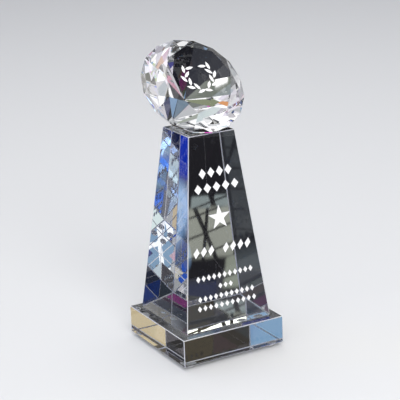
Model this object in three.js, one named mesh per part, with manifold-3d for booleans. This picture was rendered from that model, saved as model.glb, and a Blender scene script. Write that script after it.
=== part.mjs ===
// Star trophy in clear optical crystal: a brilliant-cut diamond lies on one pavilion facet on top of a
// tapered square column, and the column stands on a square slab with four bumper feet.
// Millimetres, +Z up. The origin is the centre of the footprint on the table, and the engraved face looks to -Y.
import * as THREE from 'three';
import { ConvexGeometry } from 'three/addons/geometries/ConvexGeometry.js';
import { mergeVertices } from 'three/addons/utils/BufferGeometryUtils.js';
import Module from 'manifold-3d';

const wasm = await Module();
wasm.setup();

// Driving dimensions
const SLAB_WIDTH = 85;
const SLAB_HEIGHT = 21;
const COLUMN_FOOT_WIDTH = 71.4;
const COLUMN_TOP_WIDTH = 38.4;
const COLUMN_HEIGHT = 143.5;
const EDGE_CHAMFER = 0.5; // the ground and polished arris on every edge of the slab and the column

const FOOT_RADIUS = 4.5;
const FOOT_HEIGHT = 3;
const FOOT_INSET = 7.5; // from the slab's sides to a foot's centre
const FOOT_FACETS = 24;

const GIRDLE_RADIUS = 40;
const GIRDLE_HEIGHT = 1.2;
const TABLE_RADIUS = 26.2;
const CROWN_HEIGHT = 12.85;
const PAVILION_ANGLE = THREE.MathUtils.degToRad(47.6);
const CULET_RADIUS = 0.9;
const STAR_REACH = 0.42; // how far the star facets reach from the table's edge to the girdle
const LOWER_GIRDLE_REACH = 0.55; // how far the lower girdle facets reach from the girdle to the culet
const DIAMOND_SETBACK = 5.7; // the girdle's centre lies this far behind the column's axis

const BOND_THICKNESS = 0.2; // clear adhesive under the column and under the diamond
const BOND_INSET = 0.8; // the adhesive stops this far inside the edges that it joins
const DIAMOND_CLEARANCE = 0.1; // keeps the tilted facet just clear of its adhesive

const ENGRAVING_DEPTH = 0.4;
const ENGRAVED_STAR = { height: 82.2, radius: 9.6 };
// Rows of engraved lozenges up the front face. Each row has the height of its lower edge above the column's
// foot, the size of a mark, the pitch of the marks, the number of marks in each group, and its slant.
const ENGRAVED_ROWS = [
  { base: 112.4, size: [5.8, 7.6], pitch: 7.2, groups: [4], slant: 0 },
  { base: 101.5, size: [6.2, 7.3], pitch: 7.7, groups: [5], slant: 0 },
  { base: 55.2, size: [5.0, 7.6], pitch: 6.2, groups: [3, 4], slant: 0.25 },
  { base: 37.0, size: [3.4, 4.8], pitch: 4.45, groups: [11], slant: 0 },
  { base: 29.4, size: [3.4, 4.2], pitch: 4.45, groups: [3], slant: 0 },
  { base: 22.0, size: [3.4, 4.6], pitch: 4.45, groups: [11], slant: 0 },
  { base: 15.0, size: [3.4, 4.6], pitch: 4.65, groups: [11], slant: 0 },
];
const WREATH = { radius: 11, leaves: 8, leafLength: 7, leafWidth: 2.6, splay: 0.5, opening: 0.6 };

const COLUMN_BASE = FOOT_HEIGHT + SLAB_HEIGHT + BOND_THICKNESS;
const COLUMN_TOP = COLUMN_BASE + COLUMN_HEIGHT;
const FACE_LEAN = Math.atan((COLUMN_FOOT_WIDTH - COLUMN_TOP_WIDTH) / 2 / COLUMN_HEIGHT);

const crystal = () => new THREE.MeshStandardMaterial({ color: 0xdfe8f2, roughness: 0.02, metalness: 0 });
const adhesive = () => new THREE.MeshStandardMaterial({ color: 0xf2f4f0, roughness: 0.1, metalness: 0 });
const silicone = () => new THREE.MeshStandardMaterial({ color: 0xe4e6e6, roughness: 0.35, metalness: 0 });

// --- Solids -----------------------------------------------------------------------------------------------

function toSolid(geometry) {
  const bare = geometry.clone();
  bare.deleteAttribute('normal');
  bare.deleteAttribute('uv');
  const merged = mergeVertices(bare, 1e-4);
  const vertProperties = Float32Array.from(merged.attributes.position.array);
  const triVerts = Uint32Array.from(merged.index.array);
  return new wasm.Manifold(new wasm.Mesh({ numProp: 3, vertProperties, triVerts }));
}

function toGeometry(solid) {
  const mesh = solid.getMesh();
  const geometry = new THREE.BufferGeometry();
  geometry.setAttribute('position', new THREE.BufferAttribute(mesh.vertProperties, 3));
  geometry.setIndex(new THREE.BufferAttribute(mesh.triVerts, 1));
  geometry.computeVertexNormals();
  return geometry;
}

function subtractAll(geometry, cutters) {
  return toGeometry(cutters.reduce((solid, cutter) => solid.subtract(toSolid(cutter)), toSolid(geometry)));
}

// A closed solid from flat polygons, each listed anticlockwise as seen from outside.
function fromFacets(facets) {
  const positions = [];
  for (const facet of facets) {
    for (let i = 1; i < facet.length - 1; i += 1) {
      for (const corner of [facet[0], facet[i], facet[i + 1]]) {
        positions.push(corner.x, corner.y, corner.z);
      }
    }
  }
  const geometry = new THREE.BufferGeometry();
  geometry.setAttribute('position', new THREE.Float32BufferAttribute(positions, 3));
  geometry.computeVertexNormals();
  return geometry;
}

// A square block or frustum standing on z = 0, with every edge chamfered.
function chamferedFrustum(footWidth, topWidth, height) {
  const corners = [];
  for (const [z, width] of [[0, footWidth], [height, topWidth]]) {
    for (const sx of [-1, 1]) {
      for (const sy of [-1, 1]) {
        corners.push(new THREE.Vector3((sx * width) / 2, (sy * width) / 2, z));
      }
    }
  }
  const sharesEdge = (a, b) =>
    [a.x * b.x > 0, a.y * b.y > 0, a.z === b.z].filter(Boolean).length === 2;
  const points = [];
  for (const corner of corners) {
    const neighbours = corners.filter((other) => sharesEdge(corner, other));
    for (const skipped of neighbours) {
      // The chamfer's point on one face: one step along both edges that bound the face.
      const point = corner.clone();
      for (const neighbour of neighbours.filter((other) => other !== skipped)) {
        point.addScaledVector(neighbour.clone().sub(corner).normalize(), EDGE_CHAMFER);
      }
      points.push(point);
    }
  }
  return new ConvexGeometry(points);
}

// --- Engraving --------------------------------------------------------------------------------------------

function lozenge(x, y, width, height, slant) {
  const outline = [[0, -0.5], [0.5, 0], [0, 0.5], [-0.5, 0]];
  return new THREE.Shape(
    outline.map(([u, v]) => new THREE.Vector2(x + u * width + v * height * slant, y + v * height)),
  );
}

function fivePointedStar(y, radius) {
  const innerRadius = (radius * Math.sin(Math.PI / 10)) / Math.sin((3 * Math.PI) / 10);
  const points = [];
  for (let i = 0; i < 10; i += 1) {
    const angle = Math.PI / 2 + (i * Math.PI) / 5;
    const reach = i % 2 === 0 ? radius : innerRadius;
    points.push(new THREE.Vector2(reach * Math.cos(angle), y + reach * Math.sin(angle)));
  }
  return new THREE.Shape(points);
}

function rowOfLozenges({ base, size, pitch, groups, slant }) {
  const [width, height] = size;
  const places = groups.reduce((total, count) => total + count, 0) + groups.length - 1;
  const shapes = [];
  let place = 0;
  for (const count of groups) {
    for (let i = 0; i < count; i += 1) {
      const x = (place - (places - 1) / 2) * pitch;
      shapes.push(lozenge(x, base + height / 2, width, height, slant));
      place += 1;
    }
    place += 1;
  }
  return shapes;
}

// Two laurel branches that start together at the bottom of a ring and stay open at its top.
function laurelWreath({ radius, leaves, leafLength, leafWidth, splay, opening }) {
  const outline = [[-0.5, 0], [-0.2, -0.42], [0.15, -0.42], [0.5, 0], [0.15, 0.42], [-0.2, 0.42]];
  const shapes = [];
  for (const side of [-1, 1]) {
    for (let i = 0; i < leaves; i += 1) {
      const sweep = 0.22 + (i * (Math.PI - opening - 0.22)) / (leaves - 1);
      const outward = i % 2 === 0 ? 1 : -1;
      const reach = radius + outward * leafWidth * 0.62;
      const heading = sweep - outward * splay;
      const points = outline.map(([along, across]) => {
        const a = along * leafLength;
        const b = across * leafWidth;
        const x = reach * Math.sin(sweep) + a * Math.cos(heading) - b * Math.sin(heading);
        const y = -reach * Math.cos(sweep) + a * Math.sin(heading) + b * Math.cos(heading);
        return new THREE.Vector2(side * x, y);
      });
      shapes.push(new THREE.Shape(points));
    }
  }
  return shapes;
}

// Prisms that cut the shapes ENGRAVING_DEPTH deep into the plane z = 0 of their own frame.
function engravingCutters(shapes, frame) {
  return shapes.map((shape) => {
    const cutter = new THREE.ExtrudeGeometry(shape, { depth: ENGRAVING_DEPTH + 1, bevelEnabled: false });
    cutter.translate(0, 0, -ENGRAVING_DEPTH);
    return cutter.applyMatrix4(frame);
  });
}

// --- Pieces -----------------------------------------------------------------------------------------------

function baseSlab() {
  return chamferedFrustum(SLAB_WIDTH, SLAB_WIDTH, SLAB_HEIGHT);
}

function taperedColumn() {
  const frontFace = new THREE.Matrix4()
    .makeTranslation(0, -COLUMN_FOOT_WIDTH / 2, 0)
    .multiply(new THREE.Matrix4().makeRotationX(Math.PI / 2 - FACE_LEAN));
  const shapes = [
    fivePointedStar(ENGRAVED_STAR.height, ENGRAVED_STAR.radius),
    ...ENGRAVED_ROWS.flatMap(rowOfLozenges),
  ];
  const blank = chamferedFrustum(COLUMN_FOOT_WIDTH, COLUMN_TOP_WIDTH, COLUMN_HEIGHT);
  return subtractAll(blank, engravingCutters(shapes, frontFace));
}

// Round brilliant with its axis on +Z and the girdle's middle at z = 0.
function brilliantDiamond() {
  const step = Math.PI / 8;
  const at = (radius, turn, z) =>
    new THREE.Vector3(radius * Math.cos(turn * step), radius * Math.sin(turn * step), z);
  const halfGirdle = GIRDLE_HEIGHT / 2;
  const crownSlope = CROWN_HEIGHT / (GIRDLE_RADIUS - TABLE_RADIUS);
  const pavilionSlope = Math.tan(PAVILION_ANGLE);
  const tableFlat = TABLE_RADIUS * Math.cos(step);
  const starRadius = tableFlat + (GIRDLE_RADIUS - tableFlat) * STAR_REACH;
  const starZ = halfGirdle + (GIRDLE_RADIUS - starRadius * Math.cos(step)) * crownSlope;
  const lowerRadius = GIRDLE_RADIUS * (1 - LOWER_GIRDLE_REACH);
  const lowerZ = -halfGirdle - (GIRDLE_RADIUS - lowerRadius * Math.cos(step)) * pavilionSlope;
  const culetZ = -halfGirdle - (GIRDLE_RADIUS - CULET_RADIUS) * pavilionSlope;

  const table = [];
  const culet = [];
  const facets = [table, culet];
  for (let turn = 0; turn < 16; turn += 2) {
    const tableCorner = (t) => at(TABLE_RADIUS, t, halfGirdle + CROWN_HEIGHT);
    const starTip = (t) => at(starRadius, t, starZ);
    const upper = (t) => at(GIRDLE_RADIUS, t, halfGirdle);
    const lower = (t) => at(GIRDLE_RADIUS, t, -halfGirdle);
    const lowerTip = (t) => at(lowerRadius, t, lowerZ);
    const culetCorner = (t) => at(CULET_RADIUS, t, culetZ);
    table.push(tableCorner(turn));
    culet.unshift(culetCorner(turn));
    // crown: star, kite and two upper girdle facets
    facets.push([tableCorner(turn), starTip(turn + 1), tableCorner(turn + 2)]);
    facets.push([tableCorner(turn), starTip(turn - 1), upper(turn), starTip(turn + 1)]);
    facets.push([starTip(turn + 1), upper(turn), upper(turn + 1)]);
    facets.push([starTip(turn + 1), upper(turn + 1), upper(turn + 2)]);
    // girdle: two flats
    facets.push([upper(turn), lower(turn), lower(turn + 1), upper(turn + 1)]);
    facets.push([upper(turn + 1), lower(turn + 1), lower(turn + 2), upper(turn + 2)]);
    // pavilion: two lower girdle facets and a main facet, cut short by the culet
    facets.push([lowerTip(turn + 1), lower(turn + 1), lower(turn)]);
    facets.push([lowerTip(turn + 1), lower(turn + 2), lower(turn + 1)]);
    facets.push([culetCorner(turn), lowerTip(turn + 1), lower(turn), lowerTip(turn - 1)]);
    facets.push([culetCorner(turn), culetCorner(turn + 2), lowerTip(turn + 1)]);
  }
  const tablePlane = new THREE.Matrix4().makeTranslation(0, 0, halfGirdle + CROWN_HEIGHT);
  return subtractAll(fromFacets(facets), engravingCutters(laurelWreath(WREATH), tablePlane));
}

// Height of the girdle's centre when the diamond lies on the pavilion facet under its -Y girdle corner.
function diamondRestHeight() {
  const alongFacet = GIRDLE_RADIUS * Math.sin(PAVILION_ANGLE);
  const acrossGirdle = (GIRDLE_HEIGHT / 2) * Math.cos(PAVILION_ANGLE);
  return COLUMN_TOP + BOND_THICKNESS + DIAMOND_CLEARANCE + alongFacet + acrossGirdle;
}

function squareSheet(width) {
  const half = width / 2;
  const sheet = new THREE.Shape([
    new THREE.Vector2(-half, -half),
    new THREE.Vector2(half, -half),
    new THREE.Vector2(half, half),
    new THREE.Vector2(-half, half),
  ]);
  return new THREE.ExtrudeGeometry(sheet, { depth: BOND_THICKNESS, bevelEnabled: false });
}

// The adhesive under the diamond has the outline of the facet that it lies on, trimmed to the column's top.
function diamondBond() {
  const cos = Math.cos(PAVILION_ANGLE);
  const slopeLength = (radius) => (GIRDLE_RADIUS - radius) / cos;
  const frontY = DIAMOND_SETBACK - GIRDLE_RADIUS * cos + (GIRDLE_HEIGHT / 2) * Math.sin(PAVILION_ANGLE);
  const lowerRadius = GIRDLE_RADIUS * (1 - LOWER_GIRDLE_REACH);
  const halfWidth = lowerRadius * Math.sin(Math.PI / 8) - BOND_INSET / 2;
  const tipY = frontY + slopeLength(lowerRadius * Math.cos(Math.PI / 8));
  const backY = frontY + slopeLength(CULET_RADIUS) - BOND_INSET;
  const facet = new THREE.Shape([
    new THREE.Vector2(0, frontY + BOND_INSET),
    new THREE.Vector2(halfWidth, tipY),
    new THREE.Vector2(0, backY),
    new THREE.Vector2(-halfWidth, tipY),
  ]);
  const film = new THREE.ExtrudeGeometry(facet, { depth: BOND_THICKNESS, bevelEnabled: false });
  const columnTop = squareSheet(COLUMN_TOP_WIDTH - 2 * BOND_INSET);
  return toGeometry(toSolid(film).intersect(toSolid(columnTop)));
}

// Moulded bumper: a low dome with a flat crown, stuck on upside down.
function bumperFoot() {
  const crown = FOOT_RADIUS * 0.55;
  const bulge = new THREE.QuadraticBezierCurve(
    new THREE.Vector2(crown, 0),
    new THREE.Vector2(FOOT_RADIUS * 0.98, FOOT_HEIGHT * 0.05),
    new THREE.Vector2(FOOT_RADIUS, FOOT_HEIGHT * 0.8),
  );
  const profile = [
    new THREE.Vector2(0, 0),
    ...bulge.getPoints(6),
    new THREE.Vector2(FOOT_RADIUS, FOOT_HEIGHT),
    new THREE.Vector2(0, FOOT_HEIGHT),
  ];
  // A lathe turns about Y, so the foot is turned up to stand along Z.
  return new THREE.LatheGeometry(profile, FOOT_FACETS).rotateX(Math.PI / 2);
}

// --- Assembly ---------------------------------------------------------------------------------------------

const trophy = new THREE.Group();

function addPiece(name, geometry, material, x = 0, y = 0, z = 0) {
  const piece = new THREE.Mesh(geometry, material);
  piece.name = name;
  piece.position.set(x, y, z);
  trophy.add(piece);
  return piece;
}

addPiece('base_slab', baseSlab(), crystal(), 0, 0, FOOT_HEIGHT);
addPiece('column_bond', squareSheet(COLUMN_FOOT_WIDTH - 2 * BOND_INSET), adhesive(), 0, 0,
  FOOT_HEIGHT + SLAB_HEIGHT);
addPiece('tapered_column', taperedColumn(), crystal(), 0, 0, COLUMN_BASE);
addPiece('diamond_bond', diamondBond(), adhesive(), 0, 0, COLUMN_TOP);

const diamond = addPiece('diamond', brilliantDiamond(), crystal(), 0, DIAMOND_SETBACK, diamondRestHeight());
diamond.rotation.x = PAVILION_ANGLE;

for (const [depth, sy] of [['front', -1], ['back', 1]]) {
  for (const [side, sx] of [['left', -1], ['right', 1]]) {
    const reach = SLAB_WIDTH / 2 - FOOT_INSET;
    addPiece(`foot_${depth}_${side}`, bumperFoot(), silicone(), sx * reach, sy * reach, 0);
  }
}

export default trophy;
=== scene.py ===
import math
from collections import namedtuple

import bmesh
import bpy
from mathutils import Matrix, Vector


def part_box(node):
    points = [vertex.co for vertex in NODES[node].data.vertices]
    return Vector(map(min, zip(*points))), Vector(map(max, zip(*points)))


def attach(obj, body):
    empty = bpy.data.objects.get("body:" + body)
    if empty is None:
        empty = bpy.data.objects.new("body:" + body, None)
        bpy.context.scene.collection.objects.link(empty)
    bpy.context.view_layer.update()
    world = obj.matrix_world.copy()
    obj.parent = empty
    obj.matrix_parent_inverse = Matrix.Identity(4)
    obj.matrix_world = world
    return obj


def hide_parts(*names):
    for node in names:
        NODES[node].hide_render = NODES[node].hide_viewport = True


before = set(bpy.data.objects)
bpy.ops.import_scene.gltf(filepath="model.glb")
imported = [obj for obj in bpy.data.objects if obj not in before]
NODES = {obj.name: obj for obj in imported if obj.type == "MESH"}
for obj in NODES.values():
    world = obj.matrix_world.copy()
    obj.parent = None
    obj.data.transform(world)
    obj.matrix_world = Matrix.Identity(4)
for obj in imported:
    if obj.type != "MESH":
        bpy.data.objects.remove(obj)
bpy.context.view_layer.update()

MM = 0.001

# ---------------------------------------------------------------- the crystal and its small parts
# Noise scales are in waves per metre, and a pair is the range that the noise runs over.
CRYSTAL_IOR = 1.517
POLISH_SCALE = 55.0
POLISH_WAVE = 0.003 * MM

ARRIS_DRIFT_SCALE = 45.0
ARRIS_COOL, ARRIS_COOL_AT = (0.84, 0.86, 1.0), 0.35
ARRIS_WHITE, ARRIS_WHITE_AT = (1.0, 1.0, 1.0), 0.6
ARRIS_GRAIN_SCALE = 1800.0
ARRIS_ROUGHNESS = (0.3, 0.55)
ARRIS_CLARITY = 0.5

FROST_GRAIN_SCALE = 2500.0
FROST_TONES = (0.82, 1.0)
FROST_ROUGHNESS = 0.7
FROST_RELIEF, FROST_STRENGTH = 0.1 * MM, 0.4

SILICONE_COLOUR = (0.97, 0.98, 0.98)
SILICONE_IOR = 1.41
SILICONE_CLOUD_SCALE = 400.0
SILICONE_ROUGHNESS = (0.04, 0.16)
SILICONE_CLARITY = 0.2

ADHESIVE_COLOUR = (0.95, 0.96, 1.0)
ADHESIVE_IOR = 1.5
ADHESIVE_RIPPLE_SCALE = 300.0
ADHESIVE_ROUGHNESS = (0.05, 0.2)
ADHESIVE_CLARITY = 0.85
RIM_DRAW = 0.05 * MM

# How the faces of a CAD solid are told apart.
WELD_DISTANCE = 0.001 * MM
RECESS_DEPTH = 0.15 * MM
LEVEL_TOLERANCE = 0.02 * MM
LEVEL_NORMAL = 0.999
MAIN_FACE_NORMAL = 0.9
# The material slots after the first, on a crystal and on a film or a foot.
ENGRAVED_SLOT, BONDED_SLOT, ARRIS_SLOT = 1, 2, 3
GLUED_SLOT = 1

FEET = ["foot_front_left", "foot_front_right", "foot_back_left", "foot_back_right"]
FOOT_SEGMENTS = 40
# The foot's profile as shares of its radius and height, from the glued top to the middle of the flat underneath.
FOOT_PROFILE = [
    (0.92, 1.0), (0.97, 0.97), (1.0, 0.9), (1.0, 0.72), (0.97, 0.5), (0.9, 0.3), (0.8, 0.14), (0.68, 0.04),
    (0.55, 0.0),
]

# ---------------------------------------------------------------- the camera
CAMERA_AZIMUTH = math.radians(-29.18)
CAMERA_ELEVATION = math.radians(17.26)
CAMERA_ROLL = math.radians(-2.19)
CAMERA_DISTANCE = 1.040
CAMERA_LENS = 126.0
CAMERA_SENSOR = 36.0
AIM_SIDEWAYS = -0.0008
AIM_HEIGHT = 0.1124

# ---------------------------------------------------------------- the floor and the mat
FLOOR_RADIUS = 6.0
FLOOR_SEGMENTS = 96
FLOOR_HEIGHT = -0.3 * MM
FLOOR_COLOUR = (0.68, 0.68, 0.68)
FLOOR_ROUGHNESS = 0.6

MAT_HEIGHT = -0.1 * MM
# The mat is turned by so many degrees. Its corners are distances across and along its middle line.
MAT_TURN = 14
MAT_CORNERS = [(-1.5, -5.5), (2.4, -5.5), (1.5, 1.6), (-1.5, 1.6)]
MAT_COLOUR = (0.006, 0.006, 0.009)
MAT_IOR = 1.7
# The mat is polished, and dull only where the slab's underside would mirror it.
MAT_POLISHED, MAT_DULL = 0.02, 0.6
DULL_CENTRE = (0.008, 0.06, 0.0)
DULL_RADIUS, DULL_FADE = 0.02, 0.028
# A narrow patch of blue light is painted into the mat's colour behind the trophy. It is painted light, not a lamp.
PAINTED_LIGHT_COLOUR = (0.35, 0.6, 0.95)
PAINTED_LIGHT_CENTRE = (0.06, 0.18, 0.0)
PAINTED_LIGHT_TURN = math.radians(20)
PAINTED_LIGHT_NARROWING = 4.5
PAINTED_LIGHT_RADIUS, PAINTED_LIGHT_FADE = 0.045, 0.07

# ---------------------------------------------------------------- the lights
LIGHT_AIM = Vector((0, 0, 0.12))
Softbox = namedtuple("Softbox", "name azimuth elevation distance size radiance")
SOFTBOXES = [
    Softbox("front_softbox", -160, 40, 1.5, (1.0, 0.8), 6),
    Softbox("top_softbox", 20, 75, 1.8, (1.4, 1.4), 2.25),
]

SURROUND = (0.48, 0.50, 0.52)
BACKGROUND = (0.6, 0.6, 0.6)
# Soft light panels all round, in degrees. Azimuth 0 is behind the trophy (+Y) and 90 is to its right (+X). A panel
# covers those above it in the list.
Panel = namedtuple("Panel", "name azimuth elevation half_width half_height soft_edge colour")
PANELS = [
    # Large panels: the studio's general light.
    Panel("left_key", -116, 26, 30, 19, 6, (1.2, 1.2, 1.22)),
    Panel("front_left", -153, 16, 13, 15, 5, (0.88, 0.84, 0.95)),
    Panel("front", 178, 24, 16, 22, 5, (0.64, 0.62, 0.66)),
    Panel("right", 96, 26, 22, 20, 6, (0.85, 0.82, 0.80)),
    Panel("top", 0, 90, 180, 26, 8, (0.6, 0.6, 0.6)),
    # In front to the right: the tan of the slab's left side and the darks around it.
    Panel("tan_card", 152, 21, 9, 6.5, 2, (0.66, 0.55, 0.33)),
    Panel("front_shade", 159, 27.5, 3, 2.5, 1, (0.19, 0.18, 0.15)),
    Panel("navy_card", 160, 43, 15, 9, 4, (0.02, 0.026, 0.07)),
    Panel("front_low", 152, 4, 9, 5, 1.5, (0.07, 0.07, 0.09)),
    Panel("flag_high", 122, 56, 9, 6, 2, (0.02, 0.02, 0.03)),
    # Behind: what the column's and the diamond's reflections in the mat show.
    Panel("dim_behind", 4, 34, 18, 11, 4, (0.30, 0.32, 0.38)),
    Panel("olive_behind", 4, 8, 8, 5, 1.5, (0.34, 0.38, 0.33)),
    Panel("pale_behind", -8, 12, 6, 5, 1.5, (0.68, 0.78, 0.78)),
    Panel("olive_above", -1.5, 18.4, 3.5, 3, 1, (0.8, 0.9, 0.74)),
    Panel("white_strip", 19, 17, 5, 7, 1.5, (0.6, 0.7, 0.76)),
    # Behind to the right: the dark field of the front face, with its blue and pale strips.
    Panel("backdrop", 34, 21, 12, 30, 2, (0.035, 0.032, 0.028)),
    Panel("slate_low", 27, 15.6, 1.2, 1.2, 0.5, (0.5, 0.75, 1.0)),
    Panel("rim_pale", 24, 15, 1.2, 1.2, 0.5, (1.2, 1.25, 1.35)),
    Panel("strip_blue", 27.5, 17.8, 1, 0.9, 0.4, (0.25, 0.6, 2.2)),
    Panel("navy_window", 31.2, 30.3, 1.2, 0.9, 0.4, (0.02, 0.05, 0.3)),
    Panel("slate", 50, 22, 2.8, 3.5, 1, (0.9, 1.6, 2.5)),
    Panel("sky_low", 55.2, 7, 2.6, 5, 1, (1.0, 1.4, 1.9)),
    Panel("sky_blue", 55.2, 17.5, 2.6, 5.5, 1, (0.2, 0.55, 1.9)),
    Panel("sky_pale", 60.5, 11, 2.6, 7.5, 1, (1.5, 1.9, 2.1)),
    Panel("navy_behind", 59, 21.8, 3.5, 2.5, 1, (0.08, 0.12, 0.5)),
    Panel("deep_blue", 17.5, 27.3, 2, 1.3, 0.5, (0.02, 0.2, 3.6)),
    Panel("glint", -0.9, 18, 0.35, 0.35, 0.1, (7.0, 7.0, 7.0)),
    # Behind to the left: what the front face's right strip and the slab's right end show, and the column's blues.
    Panel("right_dim", -27.5, 29, 4, 6.5, 1.5, (0.09, 0.1, 0.11)),
    Panel("right_high", -28, 38, 4, 3, 1, (0.62, 0.76, 0.82)),
    Panel("right_top", -27.5, 43, 4, 2.5, 1, (3.1, 3.3, 3.4)),
    Panel("blue", -45, 18, 14.5, 9, 2, (0.19, 0.34, 0.52)),
    Panel("sky_left", -57.5, 11.5, 4.5, 4, 1, (1.6, 2.6, 5.0)),
    Panel("right_low_blue", -27, 14, 4, 8.5, 1.5, (0.02, 0.08, 0.45)),
    Panel("blue_low", -32, 8.5, 4, 4.5, 1.5, (0.03, 0.1, 0.8)),
    Panel("blue_high", -50, 42, 9, 7, 3, (0.25, 0.5, 2.0)),
    # In front to the left: what the facets and the back faces mirror.
    Panel("facing_field", -152.6, 17.6, 3, 3.5, 0.7, (1.2, 1.25, 1.3)),
    Panel("facing_top", -153.2, 22.7, 1.8, 1.6, 0.5, (0.2, 0.22, 0.3)),
    Panel("maroon", -157, 27, 3, 2, 0.7, (0.9, 0.12, 0.7)),
    Panel("facing_low", -157.5, 7, 3, 2.5, 1, (0.08, 0.12, 0.25)),
    Panel("facing_white", -179.5, 22.5, 3, 3.5, 0.5, (1.1, 1.1, 1.1)),
    Panel("facing_grey", -173.5, 23.5, 3, 3.5, 0.5, (0.42, 0.46, 0.52)),
    Panel("amber", -133, 11, 3.5, 3.5, 1, (0.75, 0.34, 0.14)),
    Panel("olive", -143, 23.5, 3, 3, 1, (0.26, 0.29, 0.19)),
    Panel("mint", -141.5, 30.5, 1.5, 1.5, 0.5, (0.75, 0.88, 0.86)),
    Panel("wine", -147.5, 12.5, 2.5, 2.5, 1, (0.5, 0.3, 0.42)),
    Panel("shade_left", -137.5, 28, 2.5, 2.5, 1, (0.05, 0.05, 0.05)),
    Panel("shade_above", -147.5, 33.5, 2.5, 2, 1, (0.1, 0.12, 0.11)),
    Panel("moss", -161, 14, 2.5, 2.5, 1, (0.5, 0.58, 0.36)),
    Panel("rose", -155.2, 31.5, 3, 2.5, 1, (0.62, 0.42, 0.34)),
    Panel("indigo", -155.5, 37, 4, 2.5, 1, (0.08, 0.08, 0.35)),
    Panel("pink", -163.3, 8.4, 2.5, 2.5, 1, (0.8, 0.3, 0.45)),
    # Small bright panels: the sparkle of the diamond.
    Panel("spark_left", -97, 42, 4, 4, 1, (2.6, 2.6, 2.2)),
    Panel("spark_back", -7, 54, 4, 3, 1, (2.6, 2.7, 2.6)),
    Panel("spark_back_left", -67, 38, 4, 4, 1, (2.2, 2.3, 1.7)),
    Panel("spark_top", -178, 82, 20, 4, 1, (4.0, 3.7, 3.3)),
    Panel("pale_high", -21.5, 59, 2, 2, 0.5, (1.0, 1.3, 1.8)),
]
# Windows of slanting panes over the panels. The beams take their share of a pane at each of its edges.
Window = namedtuple("Window", Panel._fields + ("pane_width", "pane_height", "beam_share"))
WINDOWS = [
    Window("window", 31.5, 27.2, 5, 1.15, 0.2, (2.1, 2.2, 1.9), 1.5, 0.95, 0.05),
    Window("window_top", 31.7, 25.8, 1.0, 0.27, 0.1, (1.6, 1.9, 1.9), 1.5, 0.95, 0.05),
    Window("window_right", 33.7, 29.0, 1.1, 0.8, 0.15, (1.9, 2.1, 1.7), 1.5, 0.95, 0.05),
    Window("side_window", -27.5, 31, 3.5, 3.2, 0.2, (0.36, 0.41, 0.44), 1.5, 0.95, 0.05),
    Window("facing_window", -152.6, 17.6, 3, 3.5, 0.2, (0.26, 0.4, 0.56), 1.6, 1.3, 0.09),
]
# How far a window's rows fall and its one steep strut rises with each degree sideways, and half the strut's width.
ROW_FALL = 0.3
STRUT_RISE = 1.9
STRUT_HALF_WIDTH = 0.2

# ---------------------------------------------------------------- the renderer's limits
LIGHT_BOUNCES = 24
GLOSSY_BOUNCES = 16


# ---------------------------------------------------------------- node helpers
class Nodes:
    """A short way to write the node tree of a material or a world."""

    def __init__(self, owner):
        self.owner = owner
        owner.use_nodes = True
        self.tree = owner.node_tree
        self.tree.nodes.clear()

    def add(self, kind, inputs=None, **settings):
        """A new node. An input that is a socket is linked, and any other value is set on the node's own socket."""
        node = self.tree.nodes.new(kind)
        for key, value in settings.items():
            setattr(node, key, value)
        for key, value in (inputs or {}).items():
            socket = node.inputs[key]
            if isinstance(key, str):
                socket = next(s for s in node.inputs if s.name == key and s.enabled)
            if isinstance(value, bpy.types.NodeSocket):
                self.tree.links.new(value, socket)
            else:
                socket.default_value = value
        return node

    def object_place(self):
        return self.add("ShaderNodeTexCoord").outputs["Object"]

    def noise(self, place, scale, detail):
        return self.add("ShaderNodeTexNoise", {"Vector": place, "Scale": scale, "Detail": detail}).outputs["Fac"]

    def to_range(self, value, low, high):
        return self.add("ShaderNodeMapRange", {"Value": value, "To Min": low, "To Max": high}).outputs[0]

    def fade(self, value, near, far, inner, outer):
        """The inner value up to the near distance, running to the outer value at the far one."""
        return self.add("ShaderNodeMapRange", {
            "Value": value, "From Min": near, "From Max": far, "To Min": inner, "To Max": outer,
        }).outputs[0]

    def bump(self, height, strength, distance):
        return self.add("ShaderNodeBump", {"Strength": strength, "Distance": distance, "Height": height}).outputs[0]

    def principled(self, inputs):
        return self.add("ShaderNodeBsdfPrincipled", inputs).outputs[0]

    def math(self, operation, *values):
        return self.add("ShaderNodeMath", dict(enumerate(values)), operation=operation).outputs[0]

    def finish(self, shader):
        self.add("ShaderNodeOutputMaterial", {"Surface": shader})
        return self.owner


def new_material(name):
    return Nodes(bpy.data.materials.new(name))


# ---------------------------------------------------------------- materials of the pieces
def crystal_material():
    """Polished optical crystal, with the faint waviness that hand polishing leaves."""
    m = new_material("crystal")
    wave = m.noise(m.object_place(), POLISH_SCALE, 1.0)
    return m.finish(m.principled({
        "Base Color": (1, 1, 1, 1), "Roughness": 0.0, "IOR": CRYSTAL_IOR, "Transmission Weight": 1.0,
        "Normal": m.bump(wave, 1.0, POLISH_WAVE),
    }))


def arris_material():
    """The narrow ground edges: satin, so they gather light into a bright line."""
    m = new_material("ground_arris")
    place = m.object_place()
    tint = m.add("ShaderNodeValToRGB", {"Fac": m.noise(place, ARRIS_DRIFT_SCALE, 1.0)})
    cool, white = tint.color_ramp.elements
    cool.position, cool.color = ARRIS_COOL_AT, (*ARRIS_COOL, 1)
    white.position, white.color = ARRIS_WHITE_AT, (*ARRIS_WHITE, 1)
    grain = m.noise(place, ARRIS_GRAIN_SCALE, 2.0)
    ground = m.principled({
        "Base Color": tint.outputs[0], "Roughness": m.to_range(grain, *ARRIS_ROUGHNESS), "IOR": CRYSTAL_IOR,
    })
    through = m.add("ShaderNodeBsdfTranslucent", {"Color": tint.outputs[0]}).outputs[0]
    return m.finish(m.add("ShaderNodeMixShader", {0: ARRIS_CLARITY, 1: ground, 2: through}).outputs[0])


def bonded_material():
    """Glued faces: the adhesive matches the crystal, so light passes straight through."""
    m = new_material("bonded_face")
    return m.finish(m.add("ShaderNodeBsdfTransparent", {"Color": (1, 1, 1, 1)}).outputs[0])


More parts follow.
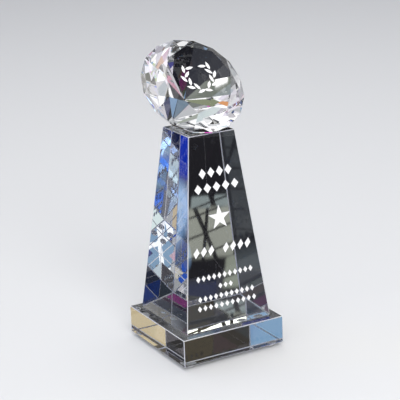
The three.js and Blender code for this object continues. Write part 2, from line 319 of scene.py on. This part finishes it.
def frosted_material():
    """The sandblasted engraving: white and grainy."""
    m = new_material("frosted_engraving")
    grain = m.noise(m.object_place(), FROST_GRAIN_SCALE, 3.0)
    tone = m.to_range(grain, *FROST_TONES)
    colour = m.add("ShaderNodeCombineColor", {0: tone, 1: tone, 2: tone}).outputs[0]
    return m.finish(m.principled({
        "Base Color": colour, "Roughness": FROST_ROUGHNESS, "Normal": m.bump(grain, FROST_STRENGTH, FROST_RELIEF),
    }))


def silicone_material():
    """The feet's soft, slightly cloudy silicone."""
    m = new_material("silicone")
    cloud = m.noise(m.object_place(), SILICONE_CLOUD_SCALE, 2.0)
    return m.finish(m.principled({
        "Base Color": (*SILICONE_COLOUR, 1), "Roughness": m.to_range(cloud, *SILICONE_ROUGHNESS),
        "IOR": SILICONE_IOR, "Transmission Weight": SILICONE_CLARITY,
    }))


def adhesive_material():
    """The rim of a cured glue film."""
    m = new_material("adhesive")
    ripple = m.noise(m.object_place(), ADHESIVE_RIPPLE_SCALE, 2.0)
    return m.finish(m.principled({
        "Base Color": (*ADHESIVE_COLOUR, 1), "Roughness": m.to_range(ripple, *ADHESIVE_ROUGHNESS),
        "IOR": ADHESIVE_IOR, "Transmission Weight": ADHESIVE_CLARITY,
    }))


CRYSTAL = crystal_material()
ARRIS = arris_material()
BONDED = bonded_material()
FROSTED = frosted_material()
SILICONE = silicone_material()
ADHESIVE = adhesive_material()


# ---------------------------------------------------------------- mesh helpers
def welded_copy(node):
    """The CAD solid as a bmesh with its split corners joined again."""
    bm = bmesh.new()
    bm.from_mesh(NODES[node].data)
    bmesh.ops.remove_doubles(bm, verts=bm.verts, dist=WELD_DISTANCE)
    bmesh.ops.recalc_face_normals(bm, faces=bm.faces)
    return bm


def is_recessed(face, vertices):
    """True on the floor and the walls of the engraving: part of the solid stands in front of the face."""
    origin = face.calc_center_median()
    return any((v.co - origin).dot(face.normal) > RECESS_DEPTH for v in vertices)


def is_arris(face):
    """True on a ground edge of the slab or the column, whose normal lies between two of the main faces."""
    return max(abs(c) for c in face.normal) < MAIN_FACE_NORMAL


def level_faces(bm, z):
    """The faces of a solid that lie level at height z."""
    return [f for f in bm.faces
            if abs(f.normal.z) > LEVEL_NORMAL and abs(f.calc_center_median().z - z) < LEVEL_TOLERANCE]


def rim_edges(faces):
    """The edges around the outside of a group of faces."""
    inside = set(faces)
    return [e for f in faces for e in f.edges if sum(g in inside for g in e.link_faces) == 1]


def circle(centre, radius, count, z):
    """The corners of a level ring."""
    turns = [2 * math.pi * i / count for i in range(count)]
    return [(centre.x + radius * math.cos(t), centre.y + radius * math.sin(t), z) for t in turns]


def film_outline(node):
    """The corners of a glue film seen from above, in order around it."""
    bm = welded_copy(node)
    edges = rim_edges(level_faces(bm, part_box(node)[1].z))
    corner = edges[0].verts[0]
    loop = []
    while edges:
        edge = next(e for e in edges if corner in e.verts)
        edges.remove(edge)
        loop.append(tuple(corner.co))
        corner = edge.other_vert(corner)
    bm.free()
    return loop


def foot_outline(node):
    """The circle where a foot is glued to the slab."""
    low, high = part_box(node)
    radius = FOOT_PROFILE[0][0] * (high.x - low.x) / 2
    return circle((low + high) / 2, radius, FOOT_SEGMENTS, high.z)


def let_in(bm, z, outlines, slot):
    """Refills the level face at height z around closed outlines, whose insides get a material slot of their own."""
    faces = level_faces(bm, z)
    normal = faces[0].normal.copy()
    rim = rim_edges(faces)
    bmesh.ops.delete(bm, geom=faces, context="FACES")
    loops = [[bm.verts.new((x, y, z)) for x, y, _ in outline] for outline in outlines]
    edges = [bm.edges.new((loop[i - 1], loop[i])) for loop in loops for i in range(len(loop))]
    bmesh.ops.triangle_fill(bm, use_beauty=True, edges=rim + edges, normal=normal)
    for loop in loops:
        inner = bm.faces.new(loop)
        inner.material_index = slot
        inner.normal_update()
        if inner.normal.dot(normal) < 0:
            inner.normal_flip()


# ---------------------------------------------------------------- pieces from the CAD solids
def add_piece(name, bm, materials, replaced):
    """The visual piece that stands in for a CAD node."""
    mesh = bpy.data.meshes.new(name)
    bm.to_mesh(mesh)
    bm.free()
    for material in materials:
        mesh.materials.append(material)
    piece = bpy.data.objects.new(name, mesh)
    bpy.context.scene.collection.objects.link(piece)
    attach(piece, "root")
    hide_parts(replaced)


def crystal_piece(name, node, bonds, has_arrises=True):
    """A crystal solid with its engraving, ground edges and glued faces marked. Bonds are (height, outlines) pairs."""
    bm = welded_copy(node)
    corners = list(bm.verts)
    for face in bm.faces:
        face.smooth = False
        if is_recessed(face, corners):
            face.material_index = ENGRAVED_SLOT
        elif has_arrises and is_arris(face):
            face.material_index = ARRIS_SLOT
    for z, outlines in bonds:
        let_in(bm, z, outlines, BONDED_SLOT)
    bmesh.ops.recalc_face_normals(bm, faces=bm.faces)
    add_piece(name, bm, (CRYSTAL, FROSTED, BONDED, ARRIS), node)


def film_piece(name, node):
    """A film of cured adhesive whose rim draws in a little between the two faces it joins."""
    low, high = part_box(node)
    middle = (low.z + high.z) / 2
    bm = welded_copy(node)
    everything = list(bm.verts) + list(bm.edges) + list(bm.faces)
    bmesh.ops.bisect_plane(bm, geom=everything, plane_co=(0, 0, middle), plane_no=(0, 0, 1),
                           dist=WELD_DISTANCE / 10)
    for v in bm.verts:
        if abs(v.co.z - middle) < WELD_DISTANCE:
            v.co -= Vector((v.co.x, v.co.y, 0)).normalized() * RIM_DRAW
    bm.normal_update()
    for face in bm.faces:
        if abs(face.normal.z) > LEVEL_NORMAL:
            face.material_index = GLUED_SLOT
    add_piece(name, bm, (ADHESIVE, BONDED), node)


def foot_piece(name, node):
    """A clear domed bumper foot, turned from its profile."""
    low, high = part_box(node)
    centre = (low + high) / 2
    radius, height = (high.x - low.x) / 2, high.z - low.z
    bm = bmesh.new()
    rings = [[bm.verts.new(corner) for corner in circle(centre, radius * across, FOOT_SEGMENTS, low.z + height * up)]
             for across, up in FOOT_PROFILE]
    for upper, lower in zip(rings, rings[1:]):
        for i in range(FOOT_SEGMENTS):
            face = bm.faces.new((upper[i - 1], upper[i], lower[i], lower[i - 1]))
            face.smooth = True
    bm.faces.new(rings[0]).material_index = GLUED_SLOT
    bm.faces.new(rings[-1])
    bmesh.ops.recalc_face_normals(bm, faces=bm.faces)
    add_piece(name, bm, (SILICONE, BONDED), node)


def build_pieces():
    slab_low, slab_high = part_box("base_slab")
    column_low, column_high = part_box("tapered_column")
    diamond_low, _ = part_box("diamond")
    column_glue = [film_outline("column_bond")]
    diamond_glue = [film_outline("diamond_bond")]
    feet_glue = [foot_outline(foot) for foot in FEET]
    crystal_piece("crystal_slab", "base_slab", [(slab_high.z, column_glue), (slab_low.z, feet_glue)])
    crystal_piece("crystal_column", "tapered_column", [(column_low.z, column_glue), (column_high.z, diamond_glue)])
    crystal_piece("crystal_diamond", "diamond", [(diamond_low.z, diamond_glue)], has_arrises=False)
    film_piece("adhesive_under_column", "column_bond")
    film_piece("adhesive_under_diamond", "diamond_bond")
    for foot in FEET:
        foot_piece("bumper_" + foot, foot)


# ---------------------------------------------------------------- stage
def direction(azimuth, elevation):
    """The unit vector towards an azimuth and an elevation in degrees, as the light panels count them."""
    a, e = math.radians(azimuth), math.radians(elevation)
    return Vector((math.sin(a) * math.cos(e), math.cos(a) * math.cos(e), math.sin(e)))


def floor_material():
    """The plain pale floor that the camera sees."""
    m = new_material("pale_floor")
    return m.finish(m.principled({
        "Base Color": (*FLOOR_COLOUR, 1), "Roughness": FLOOR_ROUGHNESS, "Specular IOR Level": 0.0,
    }))


def mat_material():
    """Polished black acrylic with a soft patch of blue light painted into its colour, which only the crystal's
    refractions show.
    """
    m = new_material("black_acrylic")
    place = m.add("ShaderNodeNewGeometry").outputs["Position"]
    away = m.add("ShaderNodeVectorMath", {0: place, 1: PAINTED_LIGHT_CENTRE}, operation="SUBTRACT").outputs[0]
    turned = m.add("ShaderNodeVectorRotate", {"Vector": away, "Angle": PAINTED_LIGHT_TURN}, rotation_type="Z_AXIS").outputs[0]
    narrow = m.add("ShaderNodeVectorMath", {0: turned, 1: (PAINTED_LIGHT_NARROWING, 1, 1)}, operation="MULTIPLY").outputs[0]
    from_painted_light = m.add("ShaderNodeVectorMath", {0: narrow}, operation="LENGTH").outputs["Value"]
    from_dull = m.add("ShaderNodeVectorMath", {0: place, 1: DULL_CENTRE}, operation="DISTANCE").outputs["Value"]
    # Painted light: the blue patch is mixed into the mat's base colour, fading out from its narrow middle.
    colour = m.add("ShaderNodeMix", {
        "Factor": m.fade(from_painted_light, PAINTED_LIGHT_RADIUS, PAINTED_LIGHT_FADE, 1.0, 0.0), "A": (*MAT_COLOUR, 1), "B": (*PAINTED_LIGHT_COLOUR, 1),
    }, data_type="RGBA").outputs[2]
    roughness = m.fade(from_dull, DULL_RADIUS, DULL_FADE, MAT_DULL, MAT_POLISHED)
    return m.finish(m.principled({"Base Color": colour, "Roughness": roughness, "IOR": MAT_IOR}))


def mat_corners():
    """A long mat under the trophy, turned a little to the right and wider in front."""
    along, across = direction(MAT_TURN, 0), direction(MAT_TURN + 90, 0)
    lift = Vector((0, 0, MAT_HEIGHT))
    return [across * x + along * y + lift for x, y in MAT_CORNERS]


def stage_sheet(name, corners, material):
    """A flat sheet that belongs to the stage."""
    mesh = bpy.data.meshes.new(name)
    mesh.from_pydata(corners, [], [range(len(corners))])
    mesh.materials.append(material)
    obj = bpy.data.objects.new(name, mesh)
    bpy.context.scene.collection.objects.link(obj)
    return obj


def build_stage():
    floor_corners = circle(Vector((0, 0, 0)), FLOOR_RADIUS, FLOOR_SEGMENTS, FLOOR_HEIGHT)
    stage_sheet("floor", floor_corners, floor_material())
    mat = stage_sheet("black_card", mat_corners(), mat_material())
    mat.visible_camera = False
    mat.visible_diffuse = False
    mat.visible_shadow = False


# ---------------------------------------------------------------- lights
def add_softbox(box):
    """An area light that lights the floor and the frosted engraving, and that the crystal doesn't show."""
    light = bpy.data.lights.new(box.name, "AREA")
    light.shape = "RECTANGLE"
    light.size, light.size_y = box.size
    light.energy = box.radiance * math.pi * light.size * light.size_y
    lamp = bpy.data.objects.new(box.name, light)
    lamp.location = LIGHT_AIM + direction(box.azimuth, box.elevation) * box.distance
    lamp.rotation_euler = (LIGHT_AIM - lamp.location).to_track_quat("-Z", "Y").to_euler()
    lamp.visible_camera = False
    lamp.visible_glossy = False
    lamp.visible_transmission = False
    bpy.context.scene.collection.objects.link(lamp)


def soft_inside(m, value, half, soft_edge):
    """1 where |value| is under half, fading to 0 over the soft edge."""
    spare = m.math("SUBTRACT", half, m.math("ABSOLUTE", value))
    return m.add("ShaderNodeMath", {0: spare, 1: 1 / soft_edge, 2: 0.5}, operation="MULTIPLY_ADD",
                 use_clamp=True).outputs[0]


def panel_mask(m, azimuth, elevation, panel):
    """1 inside a panel and 0 outside it."""
    aside = m.math("WRAP", m.math("SUBTRACT", azimuth, panel.azimuth), 180.0, -180.0)
    above = m.math("SUBTRACT", elevation, panel.elevation)
    return m.math("MULTIPLY", soft_inside(m, aside, panel.half_width, panel.soft_edge),
                  soft_inside(m, above, panel.half_height, panel.soft_edge))


def pane_mask(m, azimuth, elevation, window):
    """Dark beams between slanting panes, and a steep strut across them."""
    aside = m.math("SUBTRACT", azimuth, window.azimuth)
    above = m.math("SUBTRACT", elevation, window.elevation)
    column = m.math("DIVIDE", aside, window.pane_width)
    row = m.math("DIVIDE", m.math("ADD", above, m.math("MULTIPLY", aside, ROW_FALL)), window.pane_height)
    strut = m.math("SUBTRACT", above, m.math("MULTIPLY", aside, STRUT_RISE))
    clear = m.math("GREATER_THAN", m.math("ABSOLUTE", strut), STRUT_HALF_WIDTH)
    for value in (column, row):
        middle = m.math("SUBTRACT", m.math("FRACT", value), 0.5)
        pane = m.math("LESS_THAN", m.math("ABSOLUTE", middle), 0.5 - window.beam_share)
        clear = m.math("MULTIPLY", clear, pane)
    return clear


def build_world():
    """The light panels, painted on the sky by direction. The camera sees a plain pale background."""
    m = Nodes(bpy.data.worlds.new("studio"))
    place = m.add("ShaderNodeTexCoord").outputs["Generated"]
    split = m.add("ShaderNodeSeparateXYZ", {0: place})
    azimuth = m.math("DEGREES", m.math("ARCTAN2", split.outputs["X"], split.outputs["Y"]))
    elevation = m.math("DEGREES", m.math("ARCSINE", split.outputs["Z"]))
    light = m.add("ShaderNodeRGB").outputs[0]
    light.default_value = (*SURROUND, 1)
    for panel in PANELS + WINDOWS:
        mask = panel_mask(m, azimuth, elevation, panel)
        if isinstance(panel, Window):
            mask = m.math("MULTIPLY", mask, pane_mask(m, azimuth, elevation, panel))
        light = m.add("ShaderNodeMix", {"Factor": mask, "A": light, "B": (*panel.colour, 1)}, data_type="RGBA",
                      label=panel.name).outputs[2]
    room = m.add("ShaderNodeBackground", {"Color": light}).outputs[0]
    seen = m.add("ShaderNodeBackground", {"Color": (*BACKGROUND, 1)}).outputs[0]
    is_camera = m.add("ShaderNodeLightPath").outputs["Is Camera Ray"]
    mix = m.add("ShaderNodeMixShader", {0: is_camera, 1: room, 2: seen}).outputs[0]
    m.add("ShaderNodeOutputWorld", {"Surface": mix})
    bpy.context.scene.world = m.owner


# ---------------------------------------------------------------- camera and renderer
def build_camera():
    """The camera at the photograph's viewing angle, rolled as the photograph is."""
    data = bpy.data.cameras.new("camera")
    data.lens = CAMERA_LENS
    data.sensor_width = CAMERA_SENSOR
    camera = bpy.data.objects.new("camera", data)
    a, e = CAMERA_AZIMUTH, CAMERA_ELEVATION
    back = Vector((math.sin(a) * math.cos(e), -math.cos(a) * math.cos(e), math.sin(e)))
    right = Vector((math.cos(a), math.sin(a), 0))
    aim = Vector((0, 0, AIM_HEIGHT)) + right * AIM_SIDEWAYS
    roll = Matrix.Rotation(CAMERA_ROLL, 3, back)
    axes = Matrix((roll @ right, roll @ back.cross(right), back)).transposed()
    camera.matrix_world = Matrix.Translation(aim + back * CAMERA_DISTANCE) @ axes.to_4x4()
    bpy.context.scene.collection.objects.link(camera)
    bpy.context.scene.camera = camera


def set_light_paths():
    """Enough bounces for light to find its way out of the crystals, and colours shown as they are."""
    bpy.context.scene.view_settings.view_transform = "Standard"
    cycles = bpy.context.scene.cycles
    cycles.max_bounces = LIGHT_BOUNCES
    cycles.transmission_bounces = LIGHT_BOUNCES
    cycles.transparent_max_bounces = LIGHT_BOUNCES
    cycles.glossy_bounces = GLOSSY_BOUNCES


build_pieces()
build_stage()
for softbox in SOFTBOXES:
    add_softbox(softbox)
build_world()
build_camera()
set_light_paths()
